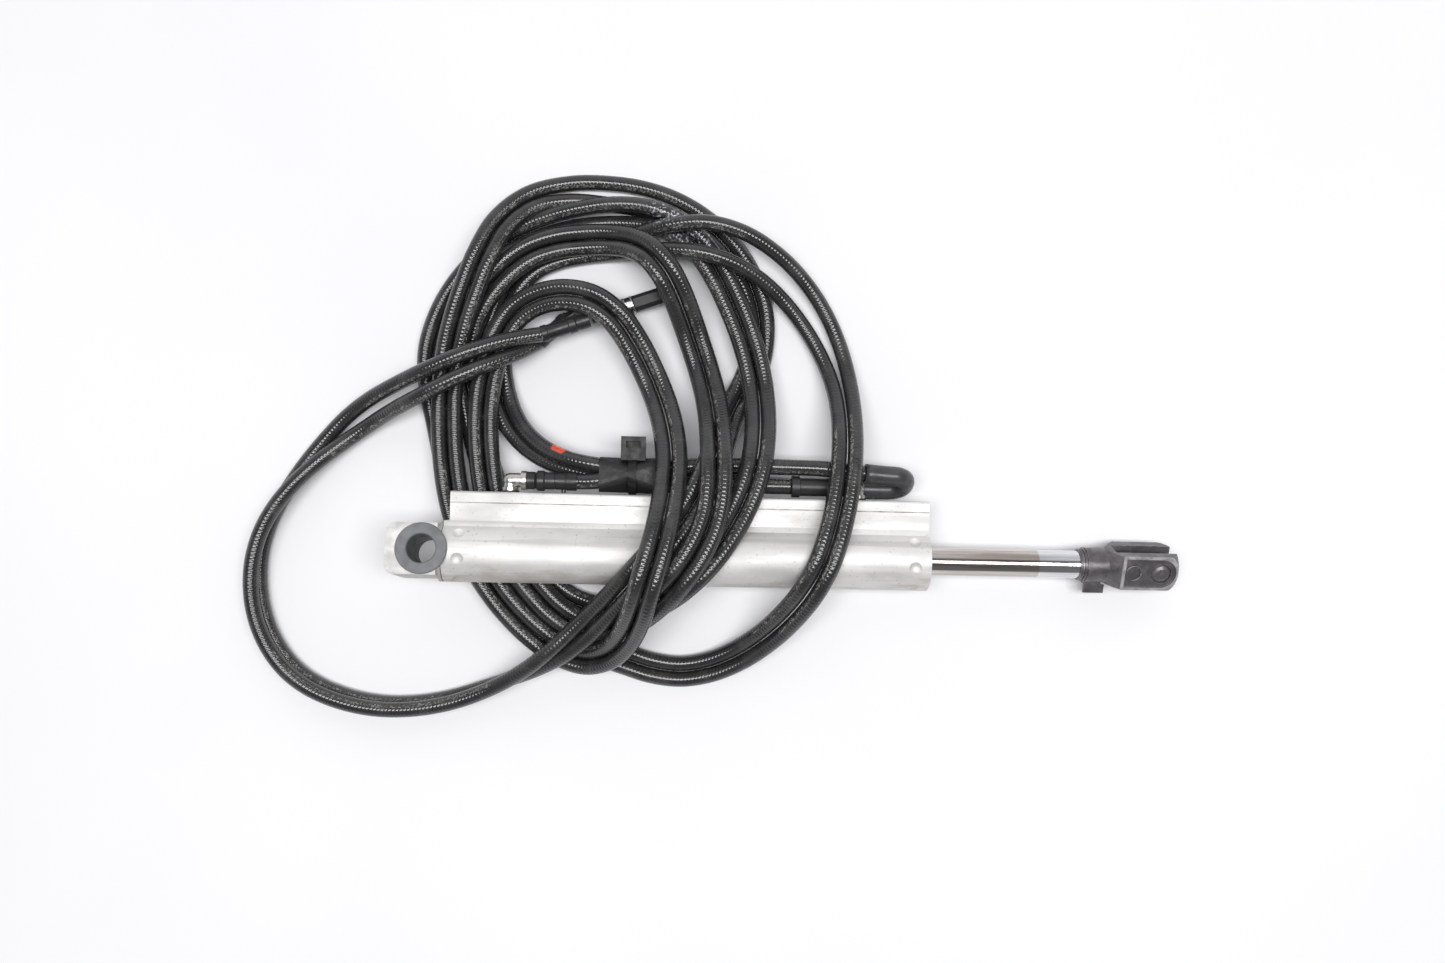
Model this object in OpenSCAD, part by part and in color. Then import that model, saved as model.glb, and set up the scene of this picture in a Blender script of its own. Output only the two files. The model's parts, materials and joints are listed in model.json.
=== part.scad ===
/* [Barrel] */
// Outside diameter of the barrel tube
barrel_d = 17; // [16.5:0.1:17.5]
// Bore of the barrel tube
barrel_bore = 14; // [13.8:0.05:14.1]
// Distance from the eye bore to the end of the barrel tube beside it
barrel_start = 5.2; // [5:0.1:5.5]
// Length of the barrel tube
barrel_length = 137; // [136:0.5:138]
// Distance from the barrel axis to the outer edge of the side rail
rail_reach = 17.2; // [17:0.1:17.4]
// Thickness of the side rail
rail_thickness = 7; // [6.8:0.1:7.2]

/* [Eye end] */
// Hole in the eye bushes
eye_bore = 8; // [7.8:0.05:8.2]
// Outside diameter of the bush flanges
bush_flange_d = 14.3; // [13.5:0.1:14.6]
// Length of the hole through both bushes
eye_length = 18.4; // [18:0.1:18.8]
// Turn of the eye block about the barrel axis
eye_clock = -8.5; // [-12:0.5:0]

/* [Rod and clevis] */
// Rod diameter
rod_d = 8; // [7.9:0.05:8]
// Distance from the eye bore to the foot of the clevis
clevis_start = 188.2; // [187.8:0.1:188.6]
// Length of the clevis
clevis_length = 26; // [25.6:0.1:26.4]
// Distance across the clevis ears
clevis_across = 12; // [11.6:0.1:12.4]
// Slot between the clevis ears
clevis_slot = 5.5; // [5.2:0.1:5.8]
// Clevis pin diameter
pin_d = 5.8; // [5.6:0.1:6]
// Turn of the clevis about the rod
clevis_clock = 19; // [0:1:30]

/* [Ports and hoses] */
// Distance from the barrel axis to the port fittings' line
port_line = 20.6; // [20.4:0.1:20.8]
// Distance from the eye bore to port A
port_a_x = 23; // [22.8:0.1:23.2]
// Distance from the eye bore to port B
port_b_x = 121.9; // [121.7:0.1:122.1]
// Outside diameter of the hoses
hose_d = 4.5; // [4.3:0.1:4.5]

/* [Hidden] */

$fn = 96;
eps = 0.01;
// Running clearance on a radius
run_gap = 0.03;

// The object lies tilted on the table: its axis drops towards the clevis
rest_pitch = 2.7;
rest_height = 18.4;
rest_shift = 1.8;

barrel_end = barrel_start + barrel_length;
cap_left = -9.9;
cap_half_width = 7.2;
cap_half_height = 8.5;
bush_d = 10;
spigot_d = barrel_bore - 2 * run_gap;
spigot_end = barrel_start + 9;
seal_groove = 2;

gland_start = barrel_end - 13;
gland_face = barrel_end - 0.8;

// Moving parts at rest, part of the stroke out
piston_start = 56;
piston_length = 15;
piston_hole = 5;
piston_nut_length = 4;
rod_shoulder = piston_start + piston_length;
rod_end = clevis_start + 5;
rod_foot = 2.9;

clevis_end = clevis_start + clevis_length;
neck_d = 10;
neck_end = clevis_start + 6;
ear_half = 5.1;
pin_x = clevis_end - ear_half;
slot_start = clevis_start + 8.3;
fork_r = 7.95;
rim_height = 0.5;
rim_width = 0.8;
// The pin's head lies under the lower ear, below the arm of its spring clip
pin_head_d = 8;
clip_low = -clevis_across / 2 - 0.75;
clip_thickness = 0.7;

leg_d = 3.7;
arm_d = 4.1;
collar_d = 5.4;
collar_length = 1.4;
ferrule_a_start = 27.5;
ferrule_b_end = 118.1;

hose_r = hose_d / 2;
// Half of the distance between the two hoses where they run side by side
pair_gap = 2.35;

// Hose routes on the table: along, across, height, then where needed
// half the distance between the hoses and the turn of the pair about its path
// Leaving the sleeve, one hose above the other
lead_in = [
    [49, 23.85, 14.15, 2.35, -58], [41, 25.4, 12.3, 2.35, -48], [33.5, 28, 9.3, 2.35, -40],
    [27, 32.4, 6.4, 2.35, -32], [22.2, 38, 4, 2.35, -18], [19, 45, 2.6],
];
// First loop, the widest on the right
loop_1 = [
    [17.3, 53, 2.3], [17, 61, 2.3], [18.3, 70, 2.3], [21.3, 78, 2.3], [26.8, 84, 2.3], [34, 87.4, 2.3],
    [42, 89.3, 2.3], [50, 90.3, 2.4], [59, 90.8, 5.6, 2.5], [68, 91.8, 11.5, 3.6],
    [78, 91.8, 11.7, 4.6], [88, 89.2, 11.2, 4.6], [97, 84.3, 7.5, 4.4], [104.8, 77.7, 3.8, 4.2],
    [111.2, 69.5, 2.5, 3.8], [116, 60, 2.7, 3.1], [118.8, 51, 5.5, 2.5], [120, 43, 9.8],
    [120.2, 35, 14.5], [119.8, 27.5, 18], [119, 20, 19.8], [117.6, 12.5, 21.4], [115.6, 5.5, 23.2],
    [113.2, -1.5, 24.2], [109.8, -8.8, 22], [104, -17, 14.8], [97.8, -23.8, 9], [90.5, -29.3, 4.8],
    [82.5, -33.2, 2.8], [74, -34.9, 2.3], [65.5, -34.2, 2.3], [57.5, -31.6, 2.3], [50, -29, 2.3],
    [42.5, -27.6, 2.3], [34.8, -24.9, 2.3], [27.2, -20, 2.3], [20.8, -13.7, 2.3], [15.4, -6.6, 2.3],
    [10.8, 1.2, 2.3], [7.2, 9.5, 2.3], [5, 18, 2.3],
];
// Second loop
loop_2 = [
    [3.6, 27, 2.3], [1.4, 38, 2.3], [-1.2, 48, 2.3], [-2, 58, 2.3], [1.4, 69, 2.3], [7, 78.4, 2.3],
    [13.4, 86, 2.3], [21.6, 91.7, 2.3], [31, 95.7, 3.4, 2.45, 25], [40, 97.9, 4.2, 2.6, 42],
    [50, 99.4, 4.6, 3.2, 42], [60, 99.2, 4.6, 3.3, 42], [69, 95.8, 6.9], [76.5, 90.3, 6.9],
    [82, 82, 6.9], [86.5, 73.5, 6.9], [90, 65.5, 6.9], [92.7, 57.5, 7], [94.4, 49.5, 7.8],
    [95.2, 42, 10.3], [95.2, 35, 14.8], [94.4, 28, 18.9], [92.8, 21, 20], [90, 14, 21.2],
    [86.3, 7.5, 23.6], [82.6, 1.6, 25.4], [77.8, -3.6, 25.6], [72.6, -8.6, 24], [67, -12.6, 18.4],
    [61, -15.6, 12], [54.6, -17.2, 6.8], [48, -17.2, 3.4], [41, -15.4, 2.3], [34.5, -11, 2.3],
    [29, -5, 2.3], [24.4, 2.3, 2.3], [20.6, 9.8, 2.3], [17, 18, 2.3],
];
// Third loop
loop_3 = [
    [13.6, 27, 2.3], [12, 37, 2.3], [9.2, 46, 2.3], [7.6, 55, 2.3], [8.4, 65, 5.2], [13.5, 73.5, 6.9],
    [19.5, 81.6, 7], [26.5, 87, 7], [34, 89.6, 7], [42, 91, 7], [50, 91.2, 7.2], [56.6, 90, 10],
    [62.4, 86.6, 14], [67, 81.4, 14.2], [70.4, 75.2, 11.4], [73.2, 68.8, 8], [75.6, 62.2, 5.4],
    [78.2, 55.2, 5], [80.3, 48, 8.6], [81.7, 41, 13.8], [82.6, 34.5, 20.2], [82.8, 28, 24.8],
    [83, 21, 26], [82.4, 14, 27.6], [80.6, 7.5, 29.2], [77.6, 1.5, 30.4], [73.9, -4.5, 30.2],
    [68.8, -10.5, 27.2], [63, -15.8, 20.6], [56.8, -20, 13.6], [49.8, -21.8, 8.8], [42.8, -20.8, 7.1],
    [36.6, -17, 6.9], [31.2, -11.4, 6.8], [25.4, -4.6, 6.4], [21.2, 2.6, 6.3], [18.4, 10, 6.5],
    [16.6, 18, 6.8],
];
// Fourth loop, the innermost
loop_4 = [
    [15.2, 27, 6.9], [14.2, 37, 6.9], [15, 46, 6.9], [16.4, 55, 6.9], [19, 63, 7], [23.2, 68.6, 7.6],
    [29, 72.8, 9], [38, 74.3, 11.6], [46.5, 72.8, 12.8], [53.3, 67.8, 12.2], [58.2, 60.8, 9.8],
    [62.3, 53.3, 7.8], [65.8, 46, 9.2], [68.2, 39, 12.4], [69.6, 32.5, 16.8], [70.4, 26.5, 20],
    [70.2, 20.5, 24], [69.4, 14, 28], [68.4, 7.5, 31], [66.8, 1, 32.4], [65, -5.5, 33.4],
    [63, -12, 31.6], [60.9, -18.3, 25.8], [57.6, -24.2, 18.4], [52.4, -29.4, 12.2], [45.8, -31, 8],
    [38.6, -29.2, 6.9], [30, -23.2, 6.9], [23.2, -16.6, 6.9], [17.4, -9.4, 6.9], [12.6, -1.5, 6.8],
    [8.8, 7, 6.6], [6.2, 16, 6.7],
];
// Last half loop, over the others
loop_5 = [
    [4.6, 26, 6.8], [3.8, 37, 6.9], [4, 47, 7], [4.6, 56.5, 7.8], [7.2, 66, 9.8], [10.6, 75.5, 11.9],
    [14.4, 85, 11.2], [18.6, 95.2, 8.8], [26.4, 103.6, 4.4], [38.5, 105.8, 2.5, 2.4],
    [49.5, 105.5, 2.3, 3.3], [60, 104.4, 2.3, 3.1], [69.6, 101.5, 2.3, 2.7], [78.6, 96.3, 2.3, 2.4],
    [86.2, 88.8, 2.3], [91.6, 79.6, 2.3], [94.6, 69.6, 2.3], [94.4, 59.8, 2.3], [91.6, 51, 2.5],
    [88.6, 45, 4.2], [86.3, 39.5, 8], [84.3, 33.5, 13.6], [82.4, 27.5, 19.2], [79.8, 21, 21],
    [76.6, 14.5, 22.7], [73, 9, 24.4], [68.8, 3.4, 26.3], [64, -2.2, 26.8], [59.2, -7.8, 24.9],
    [54.2, -13.4, 21.2], [49.2, -18.6, 18], [44.4, -23.4, 15.9, 2.35, -12],
    [38.9, -28.2, 14.6, 2.35, -35], [31.8, -33.2, 11.6, 2.35, -65], [24.2, -37.4, 7.4, 2.35, -88],
];
// The wide loop at the eye end
big_loop = [
    [15.6, -41.2, 5.2, 2.35, -98], [9, -43.8, 4.7, 2.35, -101], [1.9, -45.5, 4.6, 2.35, -102],
    [-5.5, -46.6, 4.6, 2.35, -102], [-12.8, -46.8, 4.6, 2.35, -102], [-20.4, -46, 4.6, 2.35, -102],
    [-27.6, -44, 4.6, 2.35, -102], [-34.4, -41.2, 4.6, 2.35, -102], [-40.2, -37.2, 4.6, 2.35, -102],
    [-45, -31.8, 4.6, 2.35, -102], [-48.7, -25.2, 4.6, 2.35, -102], [-51, -18, 4.6, 2.35, -102],
    [-51.8, -10.4, 4.6, 2.35, -100], [-51.3, -2.8, 4.6, 2.35, -95], [-49.4, 4.4, 4.6, 2.35, -90],
    [-45.8, 11.8, 4.6, 2.35, -82], [-41, 18.6, 4.5, 2.35, -68], [-35.8, 25.2, 4, 2.35, -45],
    [-29.7, 31.2, 3.4, 2.5, -22], [-23.8, 36.2, 3.6, 2.9], [-18, 40.5, 5.5, 3.3],
];
// Hose A from its ferrule through the sleeve to the return bend
hose_a_bridge_route = [
    [43, 20.6, 16.4], [49, 20.4, 16.8], [58, 22.9, 17.2], [67, 25.2, 15.3], [80, 25.9, 14.8],
    [95, 26, 14.2], [107, 26.1, 14.4], [113, 25.9, 14.6], [119, 25.5, 14.4], [125.5, 24.8, 13.6],
];
// Hose A from the return bend back under hose B into the sleeve
hose_a_return_route = [
    [124, 20.3, 4.2], [115, 20.4, 5.6], [104, 20.8, 7.2], [92, 21.5, 8.7], [79, 22.3, 10.2],
    [67, 22.7, 11.2], [58, 25, 13.1],
];
// Hose B from its ferrule into the sleeve
hose_b_start_route = [
    [104.7, 20.6, 13.5], [96, 20.6, 14], [86, 20.5, 14.4], [76, 20.4, 14.9], [67, 20.2, 15.4],
    [58, 20.4, 12.9],
];
// Hose A down to its far ferrule
hose_a_end_route = [
    [-10, 40.8, 10], [-1, 44.8, 14.4], [7, 48.8, 15.4], [14.2, 52.6, 14.4], [20.6, 55.4, 11.6],
    [25.8, 58.2, 8], [30.2, 61.4, 5.2],
];
// Hose B down to its far ferrule
hose_b_end_route = [
    [-9, 48, 10.2], [1, 52.6, 14.4], [10.5, 56.5, 15], [18.6, 59.9, 13.2], [25.5, 61.6, 11],
    [31.5, 63, 9.6],
];

// One circuit of the pair, in order
pair_route = [
    for (leg = [lead_in, loop_1, loop_2, loop_3, loop_4, loop_5, big_loop], p = leg)
        [p[0], p[1], p[2], len(p) > 3 ? p[3] : pair_gap, len(p) > 4 ? p[4] : 0]
];

function unit(v) = v / norm(v);
function part_of(list, first, last) = [for (i = [first:last]) list[i]];

// Travel direction on the table at point i
function heading(list, i) =
    let (a = list[max(i - 1, 0)], b = list[min(i + 1, len(list) - 1)])
    unit([b[0] - a[0], b[1] - a[1]]);

// One hose of the pair: side 1 on the left of travel, -1 on the right
function one_hose(list, side) = [
    for (i = [0:len(list) - 1])
        let (p = list[i], d = heading(list, i), across = side * p[3] * cos(p[4]))
        [p[0] - across * d[1], p[1] + across * d[0], p[2] + side * p[3] * sin(p[4])]
];

// Table point to the part's own frame
function from_table(p) =
    let (x = p[0] - rest_shift, z = p[2] - rest_height)
    [x * cos(rest_pitch) - z * sin(rest_pitch), p[1], x * sin(rest_pitch) + z * cos(rest_pitch)];

hose_a_route = concat(hose_a_return_route, one_hose(pair_route, -1), hose_a_end_route);
hose_b_route = concat(hose_b_start_route, one_hose(pair_route, 1), hose_b_end_route);
// Each long hose is three lengths that meet face to face
first_cut = 78;
second_cut = 150;

// The return bend: two short legs joined by a half turn in a leaning plane
bend_top = [132.2, 24.3, 13];
bend_low = [132.2, 20.3, 4];
bend_d = 5.7;
bend_r = norm(bend_top - bend_low) / 2;
bend_up = unit(bend_top - bend_low);
// Pulls a round turn towards a square one
function squarer(x) = sign(x) * pow(abs(x), 0.8);
bend_route = concat(
    [hose_a_bridge_route[len(hose_a_bridge_route) - 1]],
    [
        for (a = [0:18:180])
            (bend_top + bend_low) / 2
                + [1.1 * bend_r * squarer(sin(a)), 0, 0] + bend_r * squarer(cos(a)) * bend_up
    ],
    [hose_a_return_route[0]]
);
bend_side = [0, -bend_up[2], bend_up[1]];

function lean(v) = from_table(v) - from_table([0, 0, 0]);

// Ring of points round a path point, square to the path
function path_ring(path, i, r, sides, up) =
    let (
        a = path[max(i - 1, 0)], b = path[min(i + 1, len(path) - 1)],
        along = unit(b - a), side = unit(cross(along, up)), top = cross(side, along)
    )
    [for (k = [0:sides - 1]) path[i] + r * (cos(360 * k / sides) * side + sin(360 * k / sides) * top)];

module sweep(path, r, sides = 8, up = lean([0, 0, 1])) {
    n = len(path);
    points = [for (i = [0:n - 1], p = path_ring(path, i, r, sides, up)) p];
    walls = [
        for (i = [0:n - 2], k = [0:sides - 1], half = [0, 1])
            let (a = i * sides + k, b = i * sides + (k + 1) % sides)
            half == 0 ? [a, b, b + sides] : [a, b + sides, a + sides]
    ];
    polyhedron(
        points,
        concat(
            walls,
            [[for (k = [0:sides - 1]) sides - 1 - k]],
            [[for (k = [0:sides - 1]) (n - 1) * sides + k]]
        )
    );
}

module hose(route) color("#26262a") sweep([for (p = route) from_table(p)], hose_r);

// Round bar along X
module bar(x0, x1, d, y = 0, z = 0) translate([x0, y, z]) rotate([0, 90, 0]) cylinder(h = x1 - x0, d = d);

// Turned shape about the X axis: [x, radius] outline
module turned(outline) rotate([0, 90, 0]) rotate_extrude() polygon([for (p = outline) [p[1], p[0]]]);

// Ring of round section about the X axis
module seal_ring(x, centre_r, section) translate([x, 0, 0]) rotate([0, 90, 0]) rotate_extrude()
    translate([centre_r, 0]) circle(d = section, $fn = 24);

// Square-section ring about the X axis
module band_ring(x0, x1, inner_r, outer_r)
    turned([[x0, inner_r], [x1, inner_r], [x1, outer_r], [x0, outer_r]]);

// Groove cutter about the X axis
module groove(x, width, inner_r, outer_r) band_ring(x - width / 2, x + width / 2, inner_r, outer_r);

module end_cap() color("#d4d2cc") difference() {
    union() {
        rotate([eye_clock, 0, 0]) eye_block();
        bar(barrel_start - 1.2, barrel_start - 0.15, barrel_d);
        bar(barrel_start - 1.2, barrel_start, barrel_d - 0.7);
        bar(barrel_start - eps, spigot_end, spigot_d);
    }
    groove(spigot_end - 3, seal_groove, spigot_d / 2 - 1.2, spigot_d / 2 + 1);
    rotate([eye_clock, 0, 0]) cylinder(h = 3 * cap_half_height, d = bush_d, center = true);
}

// Block with two rounded corners at its free end
module eye_block() {
    corner = 2.5;
    translate([0, 0, -cap_half_height]) linear_extrude(2 * cap_half_height) {
        translate([cap_left + corner, -cap_half_width])
            square([barrel_start - 1 - cap_left - corner, 2 * cap_half_width]);
        translate([cap_left, corner - cap_half_width]) square([corner + eps, 2 * (cap_half_width - corner)]);
        for (s = [-1, 1]) translate([cap_left + corner, s * (cap_half_width - corner)]) circle(corner);
    }
}

// Flanged bush; two of them meet in the middle of the eye
module eye_bush(side) color("#8b8f96") rotate([eye_clock + (side > 0 ? 0 : 180), 0, 0])
    rotate_extrude() polygon([
        [eye_bore / 2, eps], [bush_d / 2 - eps, eps], [bush_d / 2 - eps, cap_half_height],
        [bush_flange_d / 2, cap_half_height], [bush_flange_d / 2, eye_length / 2 - 0.25],
        [bush_flange_d / 2 - 0.25, eye_length / 2], [eye_bore / 2 + 0.3, eye_length / 2],
        [eye_bore / 2, eye_length / 2 - 0.3]
    ]);

module eye_bush_upper() eye_bush(1);
module eye_bush_lower() eye_bush(-1);

module cap_o_ring() color("#1c1c1e") seal_ring(spigot_end - 3, spigot_d / 2 - 0.65, 1.2);

// Cross-section of the barrel extrusion: tube and side rail
module barrel_section() {
    edge = 0.7;
    side = rail_thickness / 2;
    circle(d = barrel_d);
    // The rail, with sloping roots where it leaves the tube
    polygon([
        [5.5, -side + 0.5], [6.2, -side - 1.9], [7.4, -side - 0.6], [9, -side], [rail_reach - edge, -side],
        [rail_reach - edge, side], [9, side], [7.4, side + 0.6], [6.2, side + 1.9], [5.5, side - 0.5]
    ]);
    translate([rail_reach - edge - eps, edge - side]) square([edge + eps, rail_thickness - 2 * edge]);
    for (s = [-1, 1]) translate([rail_reach - edge, s * (side - edge)]) circle(edge, $fn = 32);
}

module barrel() color("#dad8d2") difference() {
    translate([barrel_start, 0, 0]) rotate([90, 0, 90]) linear_extrude(barrel_length) barrel_section();
    bar(barrel_start - 1, barrel_end + 1, barrel_bore);
    // The rail is cut back at the eye end
    translate([barrel_start - 1, barrel_d / 2 + 0.4, -rail_thickness])
        cube([2.6, rail_reach, 2 * rail_thickness]);
    // Shallow line along the rail
    for (s = [-1, 1]) translate([barrel_start - 1, 13.9, s * rail_thickness / 2 - 0.15])
        cube([barrel_length + 2, 0.3, 0.3]);
    for (x = [port_a_x, port_b_x]) translate([x, barrel_bore / 2 - 0.5, 0]) rotate([-90, 0, 0]) {
        cylinder(h = rail_reach, d = 2.4);
        translate([0, 0, rail_reach - barrel_bore / 2 - 2.5]) cylinder(h = 5, d = leg_d + 2 * run_gap);
    }
    // Oil way from port B to the front of the bore
    bar(port_b_x, barrel_end + 1, 2.4, 12.4);
    bar(barrel_end - 3, barrel_end + 1, 4, 12.4);
    stake_marks();
}

// Dimples that hold the cap and the gland, pressed in round both ends
module stake_marks() {
    first_stake = 42;
    step_stake = 51.4;
    stake_r = 2.6;
    stake_rise = 1.9;
    for (x = [barrel_start + 4.6, barrel_end - 4.6], k = [0:6]) {
        a = first_stake - k * step_stake;
        if (abs(sin(a)) < 0.85 || sin(a) < 0)
            rotate([-a, 0, 0]) translate([x, 0, barrel_d / 2 + stake_rise]) sphere(r = stake_r, $fn = 48);
    }
}

module duct_plug() color("#c9c7c2") bar(barrel_end - 3, barrel_end, 4 - eps, 12.4);

module rod_gland() color("#b9b7b2") difference() {
    turned([
        [gland_start, rod_d / 2 + run_gap], [gland_face, rod_d / 2 + run_gap],
        [gland_face, spigot_d / 2], [gland_start, spigot_d / 2]
    ]);
    groove(gland_start + 9, seal_groove, spigot_d / 2 - 1.2, spigot_d / 2 + 1);
    groove(gland_start + 3.5, 2.4, rod_d / 2 - 1, rod_d / 2 + 1.5);
    band_ring(gland_face - 2, gland_face + 1, rod_d / 2 - 1, rod_d / 2 + 1.4);
}

module gland_o_ring() color("#1c1c1e") seal_ring(gland_start + 9, spigot_d / 2 - 0.65, 1.2);
module rod_seal() color("#3a5f8a")
    band_ring(gland_start + 2.4, gland_start + 4.6, rod_d / 2 + run_gap, rod_d / 2 + 1.4);
module rod_wiper() color("#232326") turned([
    [gland_face - 1.95, rod_d / 2 + 1.35], [gland_face - 1.95, rod_d / 2 + run_gap],
    [gland_face + 0.6, rod_d / 2 + run_gap], [gland_face + 0.6, rod_d / 2 + 0.5],
    [gland_face, rod_d / 2 + 1.35]
]);
// Retaining ring in front of the gland
module gland_ring() color("#77777a")
    band_ring(gland_face + eps, barrel_end - 0.1, 5.8, barrel_bore / 2 - 0.05);

module piston() color("#c8c6c0") difference() {
    band_ring(piston_start, rod_shoulder, piston_hole / 2 + run_gap, barrel_bore / 2 - 0.15);
    groove(piston_start + 4, 2.2, 5.4, barrel_bore);
    groove(piston_start + 10.5, 3.2, 5.9, barrel_bore);
}
module piston_seal() color("#2b2b2e")
    band_ring(piston_start + 3, piston_start + 5, 5.5, barrel_bore / 2 - run_gap);
module piston_guide_ring() color("#2f6b5a")
    band_ring(piston_start + 9, piston_start + 12, 6, barrel_bore / 2 - run_gap);
module piston_nut() color("#8d8f92") difference() {
    translate([piston_start - piston_nut_length, 0, 0]) rotate([0, 90, 0])
        cylinder(h = piston_nut_length - eps, d = 9, $fn = 6);
    bar(piston_start - piston_nut_length - 1, piston_start + 1, 3.9);
}
module piston_rod() color("#e2e3e6") turned([
    [piston_start - piston_nut_length, 0], [piston_start - piston_nut_length, 1.9], [piston_start, 1.9],
    [piston_start, piston_hole / 2], [rod_shoulder, piston_hole / 2], [rod_shoulder, rod_d / 2],
    [clevis_start - eps, rod_d / 2], [clevis_start - eps, rod_foot], [rod_end, rod_foot], [rod_end, 0]
]);
module rod_lock_ring() color("#4b4a4e") turned([
    [clevis_start - 1.9, rod_d / 2 + eps], [clevis_start - 1.9, 4.45], [clevis_start - 1.1, 4.7],
    [clevis_start - 1, 4.4], [clevis_start - 0.8, 4.4], [clevis_start - 0.7, 4.75],
    [clevis_start - 0.05, 4.75], [clevis_start - 0.05, rod_d / 2 + eps]
]);

// Clevis: a turned neck and a square fork whose far end is turned round
module clevis() color("#4c4a50") rotate([clevis_clock, 0, 0]) difference() {
    union() {
        bar(clevis_start, neck_end, neck_d);
        fork_body();
    }
    // Slot between the ears
    translate([slot_start, -10, -clevis_slot / 2]) cube([40, 20, clevis_slot]);
    // Shallow pocket on each ear's outer face
    for (s = [-1, 1]) translate([0, 0, s * clevis_across / 2 - rim_height]) linear_extrude(2 * rim_height)
        ear_pocket(neck_end + 4.4, ear_half - rim_width);
    translate([pin_x, 0, 0]) cylinder(h = 20, d = pin_d + 2 * run_gap, center = true);
    bar(clevis_start - 1, rod_end + 0.5, 2 * rod_foot + eps);
}

module fork_body() intersection() {
    translate([neck_end - eps, -ear_half, -clevis_across / 2])
        cube([clevis_end - neck_end + eps, 2 * ear_half, clevis_across]);
    turned([
        [neck_end - 1, 0], [neck_end - 1, neck_d / 2], [neck_end, neck_d / 2], [neck_end + 4, fork_r],
        [clevis_end - 3, fork_r], [clevis_end - 1.8, fork_r - 0.5], [clevis_end - 0.7, fork_r - 1.4],
        [clevis_end, fork_r - 2.4], [clevis_end, 0]
    ]);
}

module ear_pocket(start, half) {
    translate([start, -half]) square([pin_x - start, 2 * half]);
    translate([pin_x, 0]) circle(half);
}

// Pin with its head below the clip's arm and a domed end in the upper ear
module clevis_pin() color("#57555b") rotate([clevis_clock, 0, 0]) translate([pin_x, 0, 0]) {
    dome = clevis_across / 2 + 0.25;
    rotate_extrude() polygon([
        [0, dome], [pin_d / 4, dome - 0.1], [pin_d / 2 - 0.6, dome - 0.4], [pin_d / 2, dome - 1],
        [pin_d / 2, clip_low], [pin_head_d / 2, clip_low], [pin_head_d / 2, clip_low - 0.5],
        [pin_head_d / 2 - 0.3, clip_low - 0.8], [0, clip_low - 0.8]
    ]);
}

// Spring clip: half ring under the neck, a tab beside it and an arm that carries the pin
module pin_clip() color("#4f4d53") rotate([clevis_clock, 0, 0]) {
    band_start = clevis_start + 0.3;
    band_length = 5.7;
    band_r = neck_d / 2 + 0.05;
    arm_start = band_start + band_length - 2;
    arm_half = 2.4;
    difference() {
        band_ring(band_start, band_start + band_length, band_r, band_r + clip_thickness);
        translate([0, -20, 0]) cube([2 * clevis_end, 40, 20]);
        translate([0, 3.6, -20]) cube([2 * clevis_end, 40, 40]);
    }
    // Tab
    translate([band_start + 0.8, -band_r - 2, -clip_thickness]) cube([band_length - 0.8, 2, clip_thickness]);
    translate([band_start + 0.8, -band_r - 3.8, -clip_thickness])
        cube([band_length + 0.3, 2.5, clip_thickness]);
    translate([arm_start, -arm_half, clip_low]) cube([2, 2 * arm_half, -clip_low - band_r - 0.3]);
    difference() {
        union() {
            translate([arm_start, -arm_half, clip_low])
                cube([pin_x - arm_start, 2 * arm_half, clip_thickness]);
            translate([pin_x, 0, clip_low]) cylinder(h = clip_thickness, r = pin_head_d / 2 + 0.2);
        }
        translate([pin_x, 0, clip_low - 1]) cylinder(h = 4, d = pin_d - eps);
    }
}

// Port elbow: a leg up from the rail, a round corner, an arm along X and a collar
module port_elbow(x, arm, turn) color("#b9bcc1") translate([x, 0, 0]) rotate([0, turn, 0]) {
    leg_low = rail_reach - 2.4;
    translate([0, leg_low, 0]) rotate([-90, 0, 0]) cylinder(h = port_line - leg_low, d = leg_d);
    translate([0, rail_reach + 0.5, 0]) rotate([-90, 0, 0]) cylinder(h = 0.9, d = 4.6);
    translate([0, port_line, 0]) sphere(d = arm_d, $fn = 48);
    bar(0, arm + eps, arm_d, port_line);
    bar(arm, arm + collar_length, collar_d, port_line);
}
module port_elbow_a() port_elbow(port_a_x, ferrule_a_start - port_a_x - collar_length, 0);
module port_elbow_b() port_elbow(port_b_x, port_b_x - ferrule_b_end - collar_length, 180);

module port_seal(x) color("#303034") translate([x, rail_reach, 0]) rotate([-90, 0, 0]) difference() {
    cylinder(h = 0.5, d = 5);
    translate([0, 0, -1]) cylinder(h = 3, d = leg_d + 2 * run_gap);
}
module port_seal_a() port_seal(port_a_x);
module port_seal_b() port_seal(port_b_x);

// Crimped ferrule along X from its port end; the outline is [distance, radius]
module ferrule(x, turn, outline) color("#3c3b3f") translate([x, port_line, 0]) rotate([0, turn, 0])
    turned(concat([[0, 0]], outline, [[outline[len(outline) - 1][0], 0]]));

ferrule_a_outline = [
    [0, 2.5], [2.4, 2.5], [2.6, 2.2], [3.2, 2.9], [4.9, 2.9], [5.4, 2.45], [8, 2.45], [8.1, 2.3],
    [8.4, 2.3], [8.5, 2.45], [11.2, 2.45], [11.4, 2.65], [14.2, 2.65]
];
ferrule_b_outline = [
    [0, 2.5], [2.2, 2.5], [2.4, 2.3], [3, 2.75], [4.8, 2.75], [5.2, 2.6], [12.8, 2.6], [13, 3.1], [15.2, 3.1]
];
module hose_ferrule_a() ferrule(ferrule_a_start, 0, ferrule_a_outline);
module hose_ferrule_b() ferrule(ferrule_b_end, 180, ferrule_b_outline);
// Peg between ferrule A and the rail
module ferrule_peg() color("#35343a") translate([38, rail_reach, 0]) rotate([-90, 0, 0])
    cylinder(h = port_line - 2.45 - rail_reach + 0.05, d = 1.2);

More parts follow.
